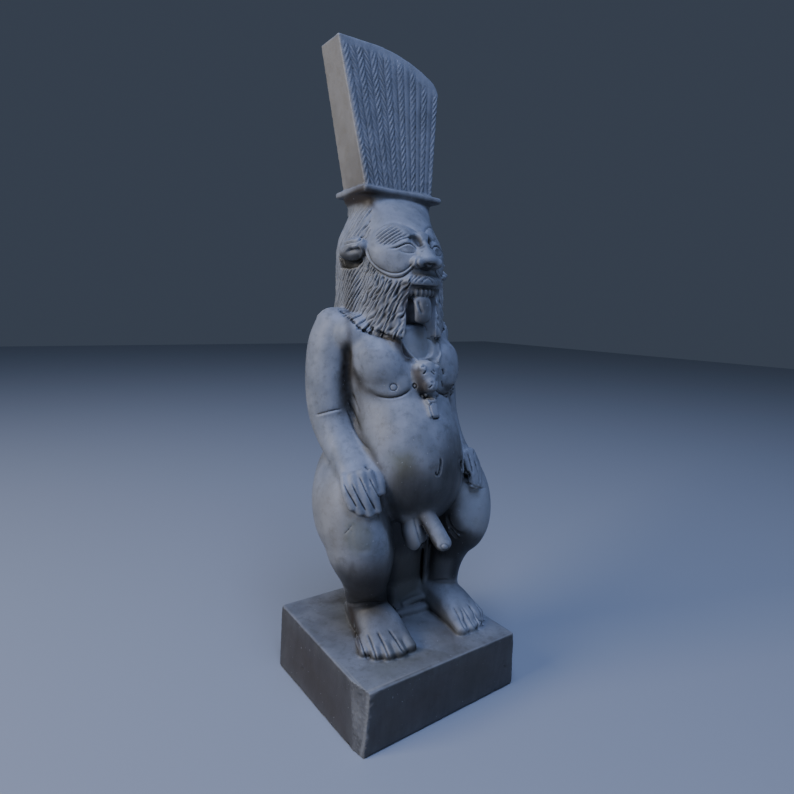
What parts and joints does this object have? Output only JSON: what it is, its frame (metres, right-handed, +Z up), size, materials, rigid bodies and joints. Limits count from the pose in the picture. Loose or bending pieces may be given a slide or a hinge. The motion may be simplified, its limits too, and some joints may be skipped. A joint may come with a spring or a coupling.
{
  "type": "cast statuette",
  "caption": "Cast statuette of a bandy-legged, lion-maned dwarf god in a tall feather crown, standing with bent knees on a block plinth.",
  "frame": {"origin": "centre of the plinth's underside", "axes": "+Z up; the figure faces -Y, its right hand is at -X"},
  "size_m": [0.1144, 0.104, 0.377],
  "materials": {
    "cast_plaster": "matte slate-grey tinted plaster with an olive-brown wash in the hollows"
  },
  "bodies": {
    "root": {"bes_figure": "cast_plaster"}
  },
  "joints": []
}
